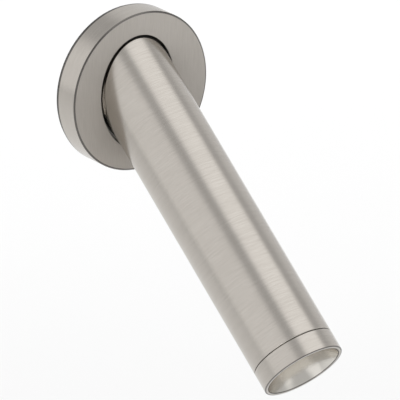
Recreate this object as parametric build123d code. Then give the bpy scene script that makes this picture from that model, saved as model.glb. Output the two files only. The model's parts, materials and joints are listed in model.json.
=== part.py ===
from build123d import *
import math
import os

os.makedirs("parts", exist_ok=True)

# Frame: the wall is the plane Y = 0, the spout stands out towards -Y and slopes down,
# +Z is up. The origin is where the supply pipe's axis meets the wall.

# ---- driving sizes, millimetres and degrees ----
flange_radius = 38.0
flange_depth = 13.9
flange_dish = 2.4
flange_face_wall = 3.9
flange_side_wall = 1.4
flange_edge_break = 0.5
seal_height = 1.2
liner_width = 3.9
liner_thickness = 2.5
gasket_radius = 33.0
gasket_thickness = 3.0

spout_slope = 40.0
spout_radius = 19.75
spout_wall = 2.0
spout_length = 152.8
spout_drop = 1.55
root_recess = 1.9
root_edge = 0.4
hole_gap = 1.3
hole_drop = 0.5

boss_step = 0.3
boss_overhang = 0.65
boss_collar = 1.7
boss_edge_break = 0.3
boss_standoff = 1.5
plug_thickness = 2.5

pipe_bore_radius = 8.05
pipe_depth = 16.0
pipe_stop = 1.5
adapter_radius = 13.0
adapter_flange_radius = 16.0
nipple_radius = 6.1
nipple_length = 6.0
nipple_bore = 4.6
pipe_ring_section = 1.3
pipe_ring_places = (10.5, 14.2)
clip_width = 1.0
clip_depth = 0.8
clip_height = 2.0
snap_gap = 2.0

screw_radius = 3.0
screw_place = 5.5
screw_length = 10.4
screw_pitch = 1.0
screw_thread_depth = 0.6
screw_socket = 3.0
screw_socket_depth = 3.5

waterway_radius = 8.0
waterway_wall = 1.8
waterway_turn = 10.5
waterway_bend = 10.0
waterway_join = 60.0
waterway_join_bend = 40.0
waterway_seal_section = 0.45

spacer_place = 76.0
spacer_width = 6.0
spacer_rim = 2.0
spacer_spoke = 3.0

socket_length = 10.0
socket_pipe_depth = 6.0
socket_seal_section = 0.5
socket_throat_radius = 12.0

ring_band = 9.8
ring_gap = 0.35
ring_edge_break = 0.2
sleeve_length = 23.4
sleeve_radius = 17.2
bore_radius = 15.0
lip = 1.6
flare_length = 20.0
cartridge_seat_radius = 15.6
cartridge_seat_length = 7.7
thread_pitch = 1.5
thread_turns = 4
thread_crest = 0.3
thread_start = 3.2
sleeve_seal_section = 0.7
sleeve_seal_place = 19.5

washer_thickness = 2.5
washer_inner_radius = 13.0
former_thickness = 4.7
cell_size = 3.3
cell_wall = 0.6
diffuser_thickness = 1.0
diffuser_hole_radius = 1.0
diffuser_hole_pitch = 3.4
retainer_width = 1.0
retainer_height = 2.0
retainer_groove_depth = 0.5

# ---- named clearances ----
seat_clearance = 0.05
running_clearance = 0.1
sliding_clearance = 0.35
liner_clearance = 0.4
washer_clearance = 0.4
face_clearance = 0.1

# ---- worked out from the driving sizes ----
slope = math.radians(spout_slope)
spout_bore = spout_radius - spout_wall
root_face = flange_depth - root_recess
plug_front = root_face + plug_thickness
adapter_length = pipe_depth + pipe_stop
nipple_end = adapter_length + nipple_length
waterway_bore = waterway_radius - waterway_wall
shoulder = spout_length - ring_band
sleeve_start = shoulder - sleeve_length
washer_start = sleeve_start - face_clearance - washer_thickness
socket_end = washer_start - face_clearance
socket_start = socket_end - socket_length
washer_radius = spout_bore - washer_clearance
cup_radius = flange_radius - flange_side_wall
boss_radius = spout_radius - boss_step
collar_radius = spout_radius + boss_overhang
liner_radius = collar_radius + liner_clearance

wall_frame = Plane(origin=(0, 0, 0), x_dir=(1, 0, 0), z_dir=(0, -1, 0))
spout_frame = Plane(
    origin=(0, -flange_depth, -spout_drop),
    x_dir=(1, 0, 0),
    z_dir=(0, -math.cos(slope), -math.sin(slope)),
)


def rod(radius, start, end):
    """Solid round bar along local Z."""
    return Pos(0, 0, start) * Cylinder(
        radius, end - start, align=(Align.CENTER, Align.CENTER, Align.MIN)
    )


def tube(outer, inner, start, end):
    """Hollow round bar along local Z."""
    return rod(outer, start, end) - rod(inner, start - 1, end + 1)


def turned(points):
    """Solid of revolution about local Z from (radius, height) corners."""
    outline = Polyline(*[(r, 0, z) for r, z in points], close=True)
    return revolve(make_face(outline), Axis.Z)


def seal(inner_radius, section, place):
    """Round-section ring whose hole has the given radius."""
    return Pos(0, 0, place) * Torus(inner_radius + section, section)


def snap_ring(outer, inner, start, end):
    """Flat ring with a gap in its side."""
    middle = Pos(0, (outer + inner) / 2, (start + end) / 2)
    gap = middle * Box(snap_gap, 2 * (outer - inner), 2 * (end - start))
    return tube(outer, inner, start, end) - gap


def hex_spots(pitch):
    """Places of a hexagonal pattern that keeps inside the outlet's bore."""
    across = 2 * math.ceil(bore_radius / pitch) + 1
    spots = HexLocations(pitch / math.sqrt(3), across, across)
    return [spot for spot in spots if spot.position.length < bore_radius - pitch / 2]


def slab(front, back):
    """Block that fills the space between two distances from the wall."""
    side = 8 * flange_radius
    return Pos(0, -(front + back) / 2, 0) * Box(side, front - back, side)


def slanted(radius, front, back):
    """Round bar along the spout's axis, cut by two planes parallel to the wall."""
    reach = 4 * flange_radius
    return (spout_frame * rod(radius, -reach, reach)) & slab(front, back)


def outer_rear_edge(shape):
    """Longest edge of the end that faces the wall."""
    return shape.edges().group_by(Axis.Y)[-1].sort_by(SortBy.LENGTH)[-1]


# ---- pieces that stay with the wall ----
def spout_tube():
    body = spout_frame * tube(spout_radius, spout_bore, -2 * spout_radius, shoulder - ring_gap)
    body -= slab(root_face, -4 * flange_radius)
    body = fillet(outer_rear_edge(body), root_edge)
    mouth = body.edges().group_by(Axis.Z)[0].sort_by(SortBy.LENGTH)[-1]
    return chamfer(mouth, ring_edge_break)


def tube_end_plug():
    plate = slanted(spout_bore, plug_front, root_face)
    return plate - wall_frame * rod(adapter_radius + seat_clearance, 0, plug_front + 1)


def screw_hole(radius):
    """Radial hole under the inlet, from the pipe's bore outwards."""
    return Pos(0, -screw_place, 0) * Rot(180, 0, 0) * rod(radius, 0, spout_radius + 1)


def inlet_boss():
    inner = adapter_radius + seat_clearance
    ring = tube(boss_radius, inner, boss_standoff, root_face)
    ring = chamfer(ring.edges().group_by(Axis.Z)[0].sort_by(SortBy.LENGTH)[-1], boss_edge_break)
    ring += tube(collar_radius, inner, root_face - boss_collar, root_face)
    return wall_frame * ring - screw_hole(screw_radius + seat_clearance)


def inlet_adapter():
    body = rod(adapter_flange_radius, 0, boss_standoff) + rod(adapter_radius, 0, adapter_length)
    body += rod(nipple_radius, 0, nipple_end)
    body -= rod(pipe_bore_radius, -1, pipe_depth)
    body -= rod(nipple_bore, 0, nipple_end + 1)
    groove = pipe_ring_section + seat_clearance
    for place in pipe_ring_places:
        body -= rod(pipe_bore_radius + 2 * groove, place - groove, place + groove)
    body -= tube(
        adapter_radius + 1, adapter_radius - clip_depth, plug_front, plug_front + clip_width
    )
    half = waterway_seal_section + seat_clearance
    middle = adapter_length + nipple_length / 2
    body -= tube(nipple_radius + 1, waterway_bore - 2 * half, middle - half, middle + half)
    return wall_frame * body - screw_hole(screw_radius + seat_clearance)


def adapter_clip():
    inner = adapter_radius - clip_depth + seat_clearance
    start = plug_front + seat_clearance
    return wall_frame * snap_ring(inner + clip_height, inner, start, plug_front + clip_width)


def pipe_seal(place):
    return wall_frame * seal(pipe_bore_radius, pipe_ring_section, place)


def set_screw():
    crest = screw_radius - seat_clearance
    root = crest - screw_thread_depth
    turns = math.floor(screw_length / screw_pitch)
    points = [(0, 0), (crest / 2, 0), (root, screw_pitch / 2)]
    for turn in range(1, turns):
        points.append((crest, turn * screw_pitch))
        points.append((root, (turn + 0.5) * screw_pitch))
    points.append((root, screw_length))
    points.append((0, screw_length))
    screw = turned(points)
    socket = extrude(RegularPolygon(screw_socket / 2, 6, major_radius=False), screw_socket_depth)
    screw -= Pos(0, 0, screw_length - screw_socket_depth) * socket
    place = Pos(0, -screw_place, -(pipe_bore_radius + seat_clearance))
    return place * Rot(180, 0, 0) * screw


def waterway_tube():
    start = (0, -(adapter_length + sliding_clearance), 0)
    corner = (0, -(adapter_length + waterway_turn), 0)
    join = spout_frame.from_local_coords((0, 0, waterway_join))
    end = spout_frame.from_local_coords((0, 0, socket_start + socket_pipe_depth - seat_clearance))
    path = FilletPolyline(start, corner, join, end, radius=[waterway_bend, waterway_join_bend])
    section = Circle(waterway_radius) - Circle(waterway_bore)
    return sweep(wall_frame.offset(-start[1]) * section, path=path)


def nipple_seal():
    inner = waterway_bore - 2 * waterway_seal_section
    return wall_frame * seal(inner, waterway_seal_section, adapter_length + nipple_length / 2)


def centring_spacer():
    end = spacer_place + spacer_width
    hub_inner = waterway_radius + seat_clearance
    rim_outer = spout_bore - seat_clearance
    hub = tube(hub_inner + spacer_rim, hub_inner, spacer_place, end)
    rim = tube(rim_outer, rim_outer - spacer_rim, spacer_place, end)
    spoke = Pos((hub_inner + rim_outer) / 2, 0, (spacer_place + end) / 2) * Box(
        rim_outer - hub_inner - spacer_rim, spacer_spoke, spacer_width
    )
    body = hub + rim
    for angle in (90, 210, 330):
        body += Rot(0, 0, angle) * spoke
    return spout_frame * body


def outlet_socket():
    pipe_end = socket_start + socket_pipe_depth
    body = rod(spout_bore, socket_start, socket_end)
    body -= rod(waterway_radius + seat_clearance, socket_start - 1, pipe_end)
    body -= turned(
        [
            (0, pipe_end - 1),
            (waterway_bore, pipe_end - 1),
            (waterway_bore, pipe_end),
            (socket_throat_radius, socket_end),
            (socket_throat_radius, socket_end + 1),
            (0, socket_end + 1),
        ]
    )
    half = socket_seal_section + seat_clearance
    middle = socket_start + socket_pipe_depth / 2
    body -= rod(waterway_radius + 2 * half, middle - half, middle + half)
    return spout_frame * body


def socket_seal():
    middle = socket_start + socket_pipe_depth / 2
    return spout_frame * seal(waterway_radius, socket_seal_section, middle)


def wall_gasket():
    return wall_frame * tube(gasket_radius, boss_radius + seat_clearance, 0, gasket_thickness)


# ---- pieces that slide forward with the flange ----
def escutcheon():
    cup = rod(flange_radius, seal_height, flange_depth)
    cup = chamfer(cup.edges().group_by(Axis.Z)[-1], flange_edge_break)
    cup -= rod(cup_radius, seal_height - 1, flange_depth - flange_face_wall)
    brim = flange_radius - flange_edge_break
    cup -= turned(
        [
            (0, flange_depth + 1),
            (brim, flange_depth + 1),
            (brim, flange_depth),
            (spout_radius, flange_depth - flange_dish),
            (0, flange_depth - flange_dish),
        ]
    )
    hole = slanted(spout_radius + hole_gap, flange_depth + 1, flange_depth - flange_face_wall - 1)
    return wall_frame * cup - Pos(0, 0, -hole_drop) * hole


def escutcheon_liner():
    back = flange_depth - flange_face_wall
    rim = slanted(liner_radius + liner_width, back, back - liner_thickness)
    rim -= slanted(liner_radius, back + 1, back - liner_thickness - 1)
    return rim & wall_frame * rod(cup_radius - seat_clearance, 0, back)


def rim_seal():
    return wall_frame * tube(flange_radius - flange_edge_break, cup_radius, 0, seal_height)


# ---- pieces that unscrew at the outlet ----
def outlet_washer():
    return spout_frame * tube(
        washer_radius, washer_inner_radius, washer_start, washer_start + washer_thickness
    )


def outlet_ring():
    crest = spout_bore - running_clearance
    outside = [(cartridge_seat_radius, sleeve_start), (sleeve_radius, sleeve_start)]
    for turn in range(thread_turns):
        root = sleeve_start + thread_start + turn * thread_pitch
        outside.append((sleeve_radius, root))
        outside.append((crest, root + (thread_pitch - thread_crest) / 2))
        outside.append((crest, root + (thread_pitch + thread_crest) / 2))
    thread_end = sleeve_start + thread_start + thread_turns * thread_pitch
    groove = sleeve_seal_section + seat_clearance
    middle = sleeve_start + sleeve_seal_place
    groove_floor = spout_bore - running_clearance - 2 * groove
    outside += [
        (sleeve_radius, thread_end),
        (sleeve_radius, middle - groove),
        (groove_floor, middle - groove),
        (groove_floor, middle + groove),
        (sleeve_radius, middle + groove),
        (sleeve_radius, shoulder),
        (spout_radius - ring_edge_break, shoulder),
        (spout_radius, shoulder + ring_edge_break),
        (spout_radius, spout_length - ring_edge_break),
        (spout_radius - ring_edge_break, spout_length),
    ]
    mouth_radius = spout_radius - lip
    flare_start = spout_length - flare_length
    seat_end = sleeve_start + cartridge_seat_length
    wall = Polyline(*[(r, 0, z) for r, z in outside])
    rim = Line(wall @ 1, (mouth_radius, 0, spout_length))
    flare = TangentArc(
        (bore_radius, 0, flare_start), (mouth_radius, 0, spout_length), tangent=(0, 0, 1)
    )
    inside = Polyline(
        (bore_radius, 0, flare_start),
        (bore_radius, 0, seat_end),
        (cartridge_seat_radius, 0, seat_end),
        (cartridge_seat_radius, 0, sleeve_start),
    )
    body = revolve(make_face(Wire([*wall.edges(), rim, *flare.edges(), *inside.edges()])), Axis.Z)
    body -= retainer_groove()
    return spout_frame * body


def retainer_groove():
    outer = cartridge_seat_radius + retainer_groove_depth
    start = sleeve_start + retainer_width
    return tube(outer, bore_radius, start, start + retainer_width + face_clearance)


def sleeve_seal():
    inner = spout_bore - running_clearance - 2 * sleeve_seal_section
    return spout_frame * seal(inner, sleeve_seal_section, sleeve_start + sleeve_seal_place)


def stream_former():
    end = sleeve_start + cartridge_seat_length
    radius = cartridge_seat_radius - seat_clearance
    disc = rod(radius, end - former_thickness, end)
    cell = extrude(RegularPolygon(cell_size / 2, 6, major_radius=False), former_thickness)
    spots = hex_spots(cell_size + cell_wall)
    cells = [Pos(0, 0, end - former_thickness) * spot * cell for spot in spots]
    return spout_frame * (disc - cells)


def diffuser_disc():
    end = sleeve_start + cartridge_seat_length - former_thickness
    start = end - diffuser_thickness + seat_clearance
    disc = rod(cartridge_seat_radius - seat_clearance, start, end)
    hole = rod(diffuser_hole_radius, start - 1, end + 1)
    holes = [spot * hole for spot in hex_spots(diffuser_hole_pitch)]
    return spout_frame * (disc - holes)


def cartridge_retainer():
    outer = cartridge_seat_radius + retainer_groove_depth - seat_clearance
    start = sleeve_start + retainer_width + seat_clearance
    end = sleeve_start + 2 * retainer_width
    return spout_frame * snap_ring(outer, outer - retainer_height, start, end)


pieces = {
    "spout_tube": spout_tube(),
    "tube_end_plug": tube_end_plug(),
    "inlet_boss": inlet_boss(),
    "inlet_adapter": inlet_adapter(),
    "adapter_clip": adapter_clip(),
    "pipe_seal_rear": pipe_seal(pipe_ring_places[0]),
    "pipe_seal_front": pipe_seal(pipe_ring_places[1]),
    "set_screw": set_screw(),
    "waterway_tube": waterway_tube(),
    "nipple_seal": nipple_seal(),
    "centring_spacer": centring_spacer(),
    "outlet_socket": outlet_socket(),
    "socket_seal": socket_seal(),
    "wall_gasket": wall_gasket(),
    "escutcheon": escutcheon(),
    "escutcheon_liner": escutcheon_liner(),
    "rim_seal": rim_seal(),
    "outlet_washer": outlet_washer(),
    "outlet_ring": outlet_ring(),
    "sleeve_seal": sleeve_seal(),
    "stream_former": stream_former(),
    "diffuser_disc": diffuser_disc(),
    "cartridge_retainer": cartridge_retainer(),
}

for node, shape in pieces.items():
    export_step(shape, f"parts/{node}.step")
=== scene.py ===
import json
import math

import bpy
from mathutils import Matrix, Vector


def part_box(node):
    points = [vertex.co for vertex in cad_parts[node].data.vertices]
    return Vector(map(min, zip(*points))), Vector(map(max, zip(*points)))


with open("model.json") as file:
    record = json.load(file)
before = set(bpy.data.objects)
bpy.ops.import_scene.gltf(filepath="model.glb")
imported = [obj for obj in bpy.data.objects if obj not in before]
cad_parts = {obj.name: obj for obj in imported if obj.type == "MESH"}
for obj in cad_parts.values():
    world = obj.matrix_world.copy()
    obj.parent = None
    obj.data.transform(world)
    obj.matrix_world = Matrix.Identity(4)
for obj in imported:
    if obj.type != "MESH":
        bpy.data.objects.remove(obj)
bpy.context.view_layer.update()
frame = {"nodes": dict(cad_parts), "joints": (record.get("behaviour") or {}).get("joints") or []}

nodes = frame["nodes"]
print("frame loaded:", len(nodes), "parts")


class Wire:
    # one socket of a node tree; arithmetic on it adds Math nodes
    def __init__(self, graph, socket):
        self.graph = graph
        self.socket = socket

    def __add__(self, other):
        return self.graph.sum("ADD", self, other)

    def __sub__(self, other):
        return self.graph.sum("SUBTRACT", self, other)

    def __mul__(self, other):
        return self.graph.sum("MULTIPLY", self, other)

    def __radd__(self, other):
        return self.graph.sum("ADD", other, self)

    def __rsub__(self, other):
        return self.graph.sum("SUBTRACT", other, self)

    def __rmul__(self, other):
        return self.graph.sum("MULTIPLY", other, self)

    def __gt__(self, other):
        return self.graph.sum("GREATER_THAN", self, other)

    def __lt__(self, other):
        return self.graph.sum("LESS_THAN", self, other)


class Graph:
    def __init__(self, tree):
        self.tree = tree
        tree.nodes.clear()

    def add(self, kind, settings={}, sockets={}, out=0):
        node = self.tree.nodes.new(kind)
        for name, value in settings.items():
            setattr(node, name, value)
        for name, value in sockets.items():
            if isinstance(value, Wire):
                self.tree.links.new(value.socket, node.inputs[name])
            else:
                node.inputs[name].default_value = value
        return Wire(self, node.outputs[out]) if node.outputs else None

    def sum(self, operation, first, second):
        return self.add("ShaderNodeMath", {"operation": operation}, {0: first, 1: second})

    def between(self, value, start, end, low=0.0, high=1.0):
        # eases from low to high as value goes from start to end
        return self.add(
            "ShaderNodeMapRange",
            {"interpolation_type": "SMOOTHSTEP"},
            {0: value, 1: start, 2: end, 3: low, 4: high},
        )

    def mixColours(self, share, first, second):
        # socket 0 is the factor, 6 and 7 are the two colours
        return self.add(
            "ShaderNodeMix", {"data_type": "RGBA"}, {0: share, 6: first, 7: second}, out=2
        )

    def objectPlace(self):
        return self.add("ShaderNodeTexCoord", out="Object")

    def placed(self, rotation, scale, centre=(0, 0, 0)):
        # object coordinates moved to centre, turned, then scaled
        moved = self.add(
            "ShaderNodeVectorMath",
            {"operation": "SUBTRACT"},
            {0: self.objectPlace(), 1: centre},
        )
        turned = self.add(
            "ShaderNodeMapping", {"vector_type": "POINT"}, {0: moved, 2: rotation}
        )
        return self.add("ShaderNodeVectorMath", {"operation": "MULTIPLY"}, {0: turned, 1: scale})

    def noise(self, vector, scale, detail=3.0, roughness=0.6):
        return self.add(
            "ShaderNodeTexNoise",
            {},
            {"Vector": vector, "Scale": scale, "Detail": detail, "Roughness": roughness},
        )

    def bump(self, height, strength, distance):
        return self.add(
            "ShaderNodeBump",
            {},
            {"Height": height, "Strength": strength, "Distance": distance},
        )

    def surface(self, sockets):
        shader = self.add("ShaderNodeBsdfPrincipled", {}, sockets)
        self.add("ShaderNodeOutputMaterial", {}, {"Surface": shader})


def newMaterial(name):
    material = bpy.data.materials.new(name)
    material.use_nodes = True
    return material, Graph(material.node_tree)


def rgb(red, green, blue):
    return (red, green, blue, 1.0)


def dress(material, *names):
    for name in names:
        slots = nodes[name].data.materials
        slots.clear()
        slots.append(material)


def joint(name):
    return next(entry for entry in frame["joints"] if entry["name"] == name)


# lines of the design, in metres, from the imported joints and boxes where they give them
spoutAxis = Vector(joint("flange_slide")["axis"]).normalized()
spoutSlope = math.asin(-spoutAxis.z)
ringTop = Vector(joint("end_ring_turn")["pos_m"])      # where the groove crosses the spout's axis
flangeLow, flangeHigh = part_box("escutcheon")
flangeRadius = flangeHigh.x
flangeFront = flangeLow.y
flangeDepth = flangeHigh.y - flangeLow.y
flangeDish = 0.003                                     # a little more than the face's hollow
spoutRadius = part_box("spout_tube")[1].x
mouthLip = 0.0016
mouthRadius = spoutRadius - mouthLip
ringBand = 0.0098
turnSpoutUpright = (math.pi / 2 - spoutSlope, 0, 0)    # lays the spout's axis along Z
turnFlangeUpright = (math.pi / 2, 0, 0)                # lays the flange's axis along Z
notTurned = (0, 0, 0)
evenLevel = 0.5                                        # middle of a noise pattern

nickelLook = {
    "colour": rgb(0.565, 0.53, 0.487),
    "worn": rgb(0.515, 0.482, 0.44),
    "paintedEdgeShade": rgb(0.16, 0.15, 0.14),     # painted shade: dark colour of the thin lines along the edges
    "paintedInsideLight": rgb(0.76, 0.73, 0.68),   # painted light: paler colour inside the mouth, standing in for light on its inner wall; the plating there isn't brushed
    "roughness": 0.24,
    "faceRoughness": 0.55,
    "faceMetal": 0.4,                        # the satin face scatters more light
    "faceShade": 0.1,                        # share of the edge's dark colour in it
    "insideRoughness": 0.18,
    "roughnessRange": 0.06,
    "lineWidth": 0.0002,
    "lineLength": 0.006,
    "lineDepth": 0.000005,
    "lineStrength": 0.5,
    "slowLines": 0.45,                       # the slower set of lines, against the fine one
    "slowShare": 0.4,
    "patchScale": 60.0,
    "patchShare": 0.2,
    "wornFrom": 0.36,
    "wornTo": 0.64,
}

# thin dark lines of painted shade along the edges, in metres
edgeLines = {
    "faceEdge": 0.0005,         # the face's own brushing ends this far inside the rim
    "frontAcross": 0.00085,     # line on the face, round its rim
    "frontDepth": 0.0005,       # the same line, round the side
    "backAcross": 0.001,
    "backDepth": 0.00085,       # line round the side, near the wall
    "mouthAcross": 0.00065,     # line on the mouth's flat rim, outside
    "mouthDepth": 0.00035,
    "boreHalf": 0.00025,        # half of the line round the bore
    "insideRoom": 0.0001,
}


def brushedLines(graph, turn, stretch, centre=(0, 0, 0)):
    # fine lines, broken up by a second slower set
    slowStretch = [size * nickelLook["slowLines"] for size in stretch]
    fine = graph.noise(graph.placed(turn, stretch, centre), 1.0, 2.0)
    slow = graph.noise(graph.placed(turn, slowStretch, centre), 1.0, 1.0)
    return fine * (1 - nickelLook["slowShare"]) + slow * nickelLook["slowShare"]


def nickelShader(graph, lines, edge, roughness, colour, metallic=1.0):
    look = nickelLook
    roughness = roughness + (lines - evenLevel) * (2 * look["roughnessRange"])
    graph.surface({
        # painted shade: where edge is set, the base colour turns to the dark edge colour
        "Base Color": graph.mixColours(edge, colour, look["paintedEdgeShade"]),
        "Metallic": metallic,
        "Roughness": roughness,
        "Normal": graph.bump(lines, look["lineStrength"], look["lineDepth"]),
    })


def brushedColour(graph, lines):
    look = nickelLook
    patches = graph.noise(graph.objectPlace(), look["patchScale"], 2.0)
    wear = patches * look["patchShare"] + lines * (1 - look["patchShare"])
    share = graph.between(wear, look["wornFrom"], look["wornTo"])
    return graph.mixColours(share, look["colour"], look["worn"])


def lineStretch(alongAxis):
    around = 1 / nickelLook["lineLength"]
    return [1 / nickelLook["lineWidth"] if alongAxis == axis else around for axis in range(3)]


def distances(graph, turn, centre):
    # distance along the axis that turn lays along Z, and distance from it
    place = graph.placed(turn, (1, 1, 1), centre)
    along = graph.add("ShaderNodeSeparateXYZ", {}, {0: place}, out="Z")
    flat = graph.add("ShaderNodeVectorMath", {"operation": "MULTIPLY"}, {0: place, 1: (1, 1, 0)})
    away = graph.add("ShaderNodeVectorMath", {"operation": "LENGTH"}, {0: flat}, out="Value")
    return along, away


def spoutNickel():
    # brushed round the spout's axis
    material, graph = newMaterial("spoutNickel")
    look = nickelLook
    lines = brushedLines(graph, turnSpoutUpright, lineStretch(2), ringTop)
    nickelShader(graph, lines, 0.0, look["roughness"], brushedColour(graph, lines))
    return material


def endRingNickel():
    # the same brushing, with painted shade as thin dark lines at the mouth's edges and painted
    # light as a paler, unbrushed plated inside
    material, graph = newMaterial("endRingNickel")
    look = nickelLook
    along, away = distances(graph, turnSpoutUpright, ringTop)
    inside = away < mouthRadius + edgeLines["insideRoom"]
    lines = brushedLines(graph, turnSpoutUpright, lineStretch(2), ringTop)
    lines = lines * (1 - inside) + inside * evenLevel
    # painted shade: thin dark lines round the mouth's outer rim and round its bore
    half = edgeLines["boreHalf"]
    outerEdge = away > spoutRadius - edgeLines["mouthAcross"]
    innerEdge = (away > mouthRadius - half) * (away < mouthRadius + half)
    atMouth = along < edgeLines["mouthDepth"] - ringBand
    edge = atMouth * (outerEdge + innerEdge)
    roughness = look["roughness"] + inside * (look["insideRoughness"] - look["roughness"])
    # painted light: the inside of the mouth takes the paler colour
    colour = graph.mixColours(inside, brushedColour(graph, lines), look["paintedInsideLight"])
    nickelShader(graph, lines, edge, roughness, colour)
    return material


def flangeNickel():
    # the rim is brushed round, the flat face up and down
    material, graph = newMaterial("flangeNickel")
    look = nickelLook
    depth, away = distances(graph, turnFlangeUpright, (0, flangeFront, 0))
    onFace = (depth < flangeDish) * (away < flangeRadius - edgeLines["faceEdge"])
    rimLines = brushedLines(graph, notTurned, lineStretch(1))
    faceLines = brushedLines(graph, notTurned, lineStretch(0))
    lines = faceLines * onFace + rimLines * (1 - onFace)
    # painted shade: thin dark lines round the flange's front and back rims
    frontEdge = (away > flangeRadius - edgeLines["frontAcross"]) * (
        depth < edgeLines["frontDepth"]
    )
    backEdge = (away > flangeRadius - edgeLines["backAcross"]) * (
        depth > flangeDepth - edgeLines["backDepth"]
    )
    roughness = look["roughness"] + onFace * (look["faceRoughness"] - look["roughness"])
    metal = 1 - onFace * (1 - look["faceMetal"])
    shade = onFace * look["faceShade"]
    colour = graph.mixColours(shade, brushedColour(graph, lines), look["paintedEdgeShade"])
    nickelShader(graph, lines, frontEdge + backEdge, roughness, colour, metal)
    return material


def collarNickel():
    # the collar behind the spout is brushed round the pipe's axis
    material, graph = newMaterial("collarNickel")
    lines = brushedLines(graph, notTurned, lineStretch(1))
    nickelShader(graph, lines, 0.0, nickelLook["roughness"], brushedColour(graph, lines))
    return material


dress(spoutNickel(), "spout_tube")
dress(endRingNickel(), "outlet_ring")
dress(flangeNickel(), "escutcheon")
dress(collarNickel(), "inlet_boss")
print("nickel done")

brassLook = {
    "colour": rgb(0.66, 0.47, 0.20),
    "dull": rgb(0.50, 0.35, 0.15),
    "roughness": 0.32,
    "roughnessRange": 0.15,
    "turningLines": 0.00035,
    "turningSpread": 30.0,       # how fast the lines change along their length
    "turningStrength": 0.3,
    "turningDepth": 0.00001,
    "stainScale": 140.0,
    "stainFrom": 0.35,
    "stainTo": 0.7,
}


def machinedBrass():
    material, graph = newMaterial("machinedBrass")
    look = brassLook
    stretch = (look["turningSpread"], 1 / look["turningLines"], look["turningSpread"])
    lines = graph.noise(graph.placed(notTurned, stretch), 1.0, 2.0)
    stain = graph.noise(graph.objectPlace(), look["stainScale"], 4.0)
    share = graph.between(stain, look["stainFrom"], look["stainTo"])
    graph.surface({
        "Base Color": graph.mixColours(share, look["colour"], look["dull"]),
        "Metallic": 1.0,
        "Roughness": look["roughness"] + stain * look["roughnessRange"],
        "Normal": graph.bump(lines, look["turningStrength"], look["turningDepth"]),
    })
    return material


dress(machinedBrass(), "inlet_adapter", "tube_end_plug", "outlet_socket")
print("brass done")

steelLook = {
    "spring": {"colour": rgb(0.30, 0.30, 0.31), "dark": rgb(0.18, 0.17, 0.17), "roughness": 0.38},
    "stainless": {"colour": rgb(0.58, 0.58, 0.58), "dark": rgb(0.45, 0.45, 0.45),
                  "roughness": 0.28},
    "grain": {"scale": 900.0, "darkFrom": 0.35, "darkTo": 0.7, "roughnessRange": 0.1,
              "strength": 0.2, "depth": 0.00002},
}


def steel(kind):
    material, graph = newMaterial(kind + "Steel")
    look = steelLook[kind]
    grainLook = steelLook["grain"]
    grain = graph.noise(graph.objectPlace(), grainLook["scale"], 4.0)
    share = graph.between(grain, grainLook["darkFrom"], grainLook["darkTo"])
    graph.surface({
        "Base Color": graph.mixColours(share, look["colour"], look["dark"]),
        "Metallic": 1.0,
        "Roughness": look["roughness"] + grain * grainLook["roughnessRange"],
        "Normal": graph.bump(grain, grainLook["strength"], grainLook["depth"]),
    })
    return material


dress(steel("spring"), "adapter_clip", "cartridge_retainer")
dress(steel("stainless"), "set_screw")
print("steel done")

softLook = {
    "rubber": {"dark": rgb(0.012, 0.012, 0.012), "pale": rgb(0.03, 0.03, 0.03),
               "roughness": 0.55, "grain": 1500.0, "depth": 0.00002},
    "foam": {"dark": rgb(0.10, 0.095, 0.09), "pale": rgb(0.17, 0.162, 0.155),
             "roughness": 0.9, "grain": 1100.0, "depth": 0.00018},
    "nylon": {"dark": rgb(0.27, 0.26, 0.245), "pale": rgb(0.33, 0.32, 0.305),
              "roughness": 0.42, "grain": 2200.0, "depth": 0.00001},
    "pipe": {"dark": rgb(0.62, 0.61, 0.56), "pale": rgb(0.74, 0.73, 0.69),
             "roughness": 0.38, "grain": 700.0, "depth": 0.00001},
    "former": {"dark": rgb(0.60, 0.61, 0.60), "pale": rgb(0.72, 0.73, 0.72),
               "roughness": 0.30, "grain": 700.0, "depth": 0.00001},
    "shared": {"cloudSize": 12, "paleFrom": 0.3, "paleTo": 0.7, "roughnessRange": 0.2,
               "strength": 0.6},
}


def moulded(kind):
    material, graph = newMaterial("moulded" + kind.capitalize())
    look = softLook[kind]
    shared = softLook["shared"]
    grain = graph.noise(graph.objectPlace(), look["grain"], 4.0)
    cloud = graph.noise(graph.objectPlace(), look["grain"] / shared["cloudSize"], 2.0)
    share = graph.between(cloud, shared["paleFrom"], shared["paleTo"])
    graph.surface({
        "Base Color": graph.mixColours(share, look["dark"], look["pale"]),
        "Roughness": look["roughness"] + (grain - evenLevel) * shared["roughnessRange"],
        "Normal": graph.bump(grain, shared["strength"], look["depth"]),
    })
    return material


dress(moulded("rubber"), "pipe_seal_rear", "pipe_seal_front", "nipple_seal", "socket_seal",
      "sleeve_seal", "outlet_washer", "rim_seal")
dress(moulded("foam"), "wall_gasket")
dress(moulded("nylon"), "escutcheon_liner", "centring_spacer")
dress(moulded("pipe"), "waterway_tube")
dress(moulded("former"), "stream_former", "diffuser_disc")
print("rubber and plastics done")

studio = {
    "floorDrop": 0.45,          # floor below the flange's centre
    "floorSize": 9.0,
    "floorDark": rgb(0.86, 0.86, 0.86),
    "floorPale": rgb(0.88, 0.88, 0.88),
    "floorRoughness": 0.8,
    "speckle": 3.0,
    "ambient": 0.55,
}

# soft panels of the studio: direction, half angle and softness in degrees, added brightness
panels = [
    ((-0.93, 0.25, 0.25), 52, 16, 0.42),
    ((0.35, -0.35, 0.87), 27, 14, 0.68),
    ((0.75, 0.60, 0.30), 32, 14, 0.25),
]

# lamps that show in no reflection: one whitens the floor, one lifts the flange's satin face
lamps = {
    "floorLight": {"place": (0.85, 1.15, 1.6), "size": 1.6, "power": 18.0},
    "faceLight": {"place": (-0.40, -0.75, -0.40), "size": 0.5, "power": 2.8},
}


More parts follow.
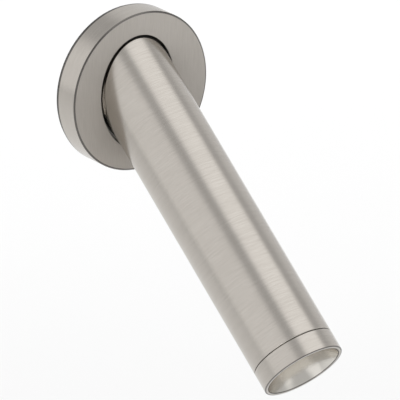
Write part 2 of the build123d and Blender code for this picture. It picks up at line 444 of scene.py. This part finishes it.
def makeWorld():
    world = bpy.data.worlds.new("softStudio")
    world.use_nodes = True
    bpy.context.scene.world = world
    graph = Graph(world.node_tree)
    direction = graph.add("ShaderNodeTexCoord", out="Generated")
    light = studio["ambient"]
    for towards, halfAngle, soft, strength in panels:
        facing = graph.add(
            "ShaderNodeVectorMath",
            {"operation": "DOT_PRODUCT"},
            {0: direction, 1: Vector(towards).normalized()},
            out="Value",
        )
        outer = math.cos(math.radians(halfAngle + soft / 2))
        inner = math.cos(math.radians(halfAngle - soft / 2))
        light = light + graph.between(facing, outer, inner, 0.0, strength)
    background = graph.add("ShaderNodeBackground", {}, {"Color": light})
    graph.add("ShaderNodeOutputWorld", {}, {"Surface": background})


def makeFloor():
    look = studio
    bpy.ops.object.select_all(action="DESELECT")
    bpy.ops.mesh.primitive_plane_add(size=look["floorSize"], location=(0, 0, -look["floorDrop"]))
    floor = bpy.context.object
    floor.name = "floor"
    material, graph = newMaterial("paleFloor")
    speckle = graph.noise(graph.objectPlace(), look["speckle"], 2.0)
    graph.surface({
        "Base Color": graph.mixColours(speckle, look["floorDark"], look["floorPale"]),
        "Roughness": look["floorRoughness"],
        "Specular IOR Level": 0.0,
    })
    floor.data.materials.append(material)


def makeLamp(name):
    look = lamps[name]
    bpy.ops.object.light_add(type="AREA", location=look["place"])
    lamp = bpy.context.object
    lamp.name = name
    lamp.data.shape = "DISK"
    lamp.data.size = look["size"]
    lamp.data.energy = look["power"]
    lamp.visible_glossy = False
    return lamp


makeWorld()
makeFloor()
makeLamp("floorLight")
faceLamp = makeLamp("faceLight")
faceLamp.rotation_euler = faceLamp.location.to_track_quat("Z", "Y").to_euler()   # at the flange
faceLamp.visible_camera = False
print("studio done")

cameraLook = {
    "azimuth": -37.0,
    "elevation": 23.04,
    "roll": -1.4,
    "distance": 40 * 2 * flangeRadius,   # far off, so that outlines hardly converge
    "aimRight": 0.03544,
    "aimDown": 0.0539,
    "lens": 597.2,
    "sensor": 36,
    "clipEnd": 60,
}


def makeCamera():
    look = cameraLook
    azimuth = math.radians(look["azimuth"])
    elevation = math.radians(look["elevation"])
    roll = math.radians(look["roll"])
    back = Vector((
        math.sin(azimuth) * math.cos(elevation),
        -math.cos(azimuth) * math.cos(elevation),
        math.sin(elevation),
    ))
    level = Vector((math.cos(azimuth), math.sin(azimuth), 0))
    upright = back.cross(level)
    right = level * math.cos(roll) + upright * math.sin(roll)
    up = upright * math.cos(roll) - level * math.sin(roll)
    aim = right * look["aimRight"] - up * look["aimDown"]
    bpy.ops.object.camera_add()
    camera = bpy.context.object
    camera.name = "studioCamera"
    camera.data.lens = look["lens"]
    camera.data.sensor_width = look["sensor"]
    camera.data.clip_end = look["clipEnd"]
    turn = Matrix((right, up, back)).transposed().to_4x4()
    camera.matrix_world = Matrix.Translation(aim + back * look["distance"]) @ turn
    bpy.context.scene.camera = camera


makeCamera()
bpy.context.scene.view_settings.view_transform = "Standard"
print("camera done")
